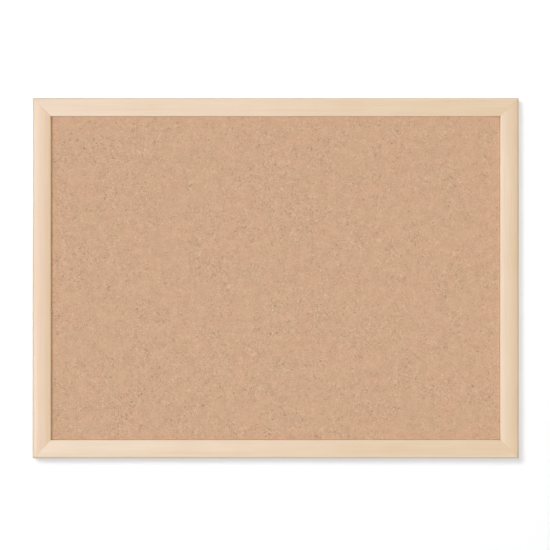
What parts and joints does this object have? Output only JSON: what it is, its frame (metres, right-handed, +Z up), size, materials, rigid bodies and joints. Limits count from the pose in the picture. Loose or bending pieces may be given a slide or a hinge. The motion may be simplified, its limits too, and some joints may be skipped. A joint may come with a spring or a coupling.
{
  "type": "cork bulletin board",
  "caption": "Wall board with a cork-faced panel held in the rebate of a crowned, mitred wooden frame, with hinged D-ring hangers and rubber bumpers on its back.",
  "frame": {"origin": "centre of the board's outline on the plane of the wall that its bumpers rest on", "axes": "+X to the right as the cork is seen, +Y into the wall, +Z up; the cork faces -Y"},
  "size_m": [0.584, 0.018, 0.433],
  "materials": {
    "moulding": "satin",
    "cork": "matte",
    "fibreboard": "matte",
    "kraft_liner": "matte",
    "galvanised_steel": "satin",
    "plated_steel": "satin",
    "rubber": "matte"
  },
  "bodies": {
    "board": {"top_rail": "moulding", "bottom_rail": "moulding", "left_stile": "moulding", "right_stile": "moulding", "cork_sheet": "cork", "fibreboard_core": "fibreboard", "backing_liner": "kraft_liner", "v_nails_top_left": "galvanised_steel", "v_nails_top_right": "galvanised_steel", "v_nails_bottom_left": "galvanised_steel", "v_nails_bottom_right": "galvanised_steel", "points_top": "galvanised_steel", "points_bottom": "galvanised_steel", "points_left": "galvanised_steel", "points_right": "galvanised_steel", "hanger_strap_left": "plated_steel", "hanger_strap_right": "plated_steel", "hanger_screw_left": "plated_steel", "hanger_screw_right": "plated_steel", "bumper_left": "rubber", "bumper_right": "rubber"},
    "left_ring": {"hanger_ring_left": "plated_steel"},
    "right_ring": {"hanger_ring_right": "plated_steel"}
  },
  "joints": [
    {"name": "left_ring_hinge", "type": "hinge", "parent": "board", "child": "left_ring", "pos_m": [-0.2845, -0.00155, 0.1685], "axis": [-1, 0, 0], "range_deg": [0, 179]},
    {"name": "right_ring_hinge", "type": "hinge", "parent": "board", "child": "right_ring", "pos_m": [0.2845, -0.00155, 0.1685], "axis": [-1, 0, 0], "range_deg": [0, 179]}
  ]
}
